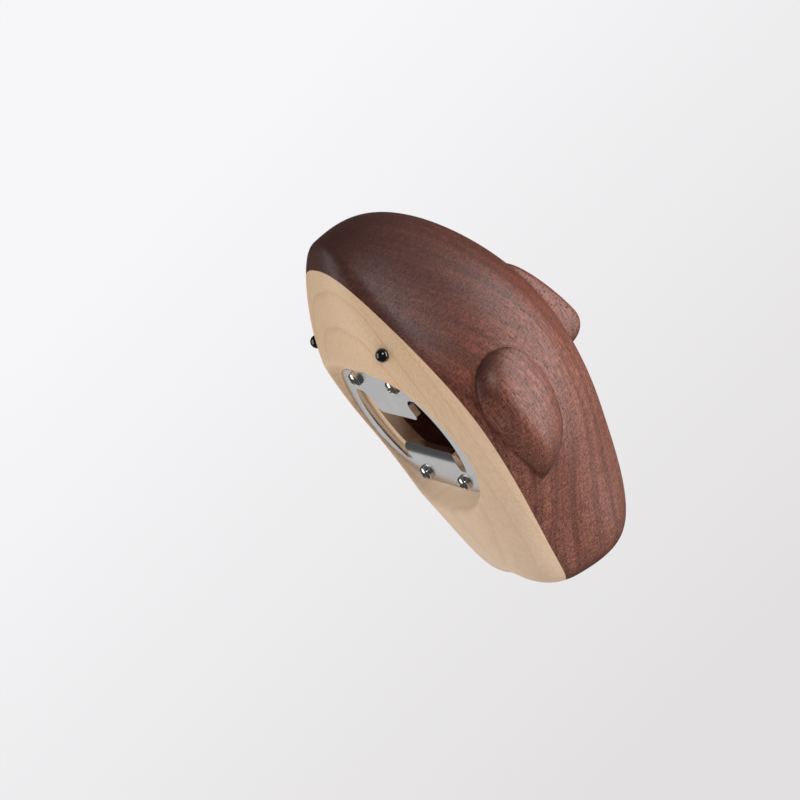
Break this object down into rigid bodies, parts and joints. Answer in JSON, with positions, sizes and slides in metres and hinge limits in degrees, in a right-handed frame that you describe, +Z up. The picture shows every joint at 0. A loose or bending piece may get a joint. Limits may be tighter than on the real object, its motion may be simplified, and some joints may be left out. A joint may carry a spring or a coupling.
{
  "type": "bottle opener",
  "caption": "Whale-shaped wooden bottle opener: a steel plate in its mouth hooks under a crown cap while the body serves as the handle.",
  "frame": {"origin": "middle of the length and width, on the flat that the belly rests on", "axes": "+X towards the nose, +Y towards the whale's left side, +Z up through the back"},
  "size_m": [0.1043, 0.0658, 0.0548],
  "materials": {
    "walnut": "oiled walnut, satin, with open pores",
    "maple": "oiled maple, satin, with faint growth rings",
    "plate_steel": "polished stainless steel",
    "screw_steel": "bright nickel-plated screws",
    "black_bead": "glossy black beads"
  },
  "bodies": {
    "root": {"walnut_back": "walnut", "maple_belly": "maple", "dorsal_fin": "walnut", "opener_plate": "plate_steel", "screw_nose_left": "screw_steel", "screw_nose_right": "screw_steel", "screw_tail_left": "screw_steel", "screw_tail_right": "screw_steel", "eye_left": "black_bead", "eye_right": "black_bead"}
  },
  "joints": []
}
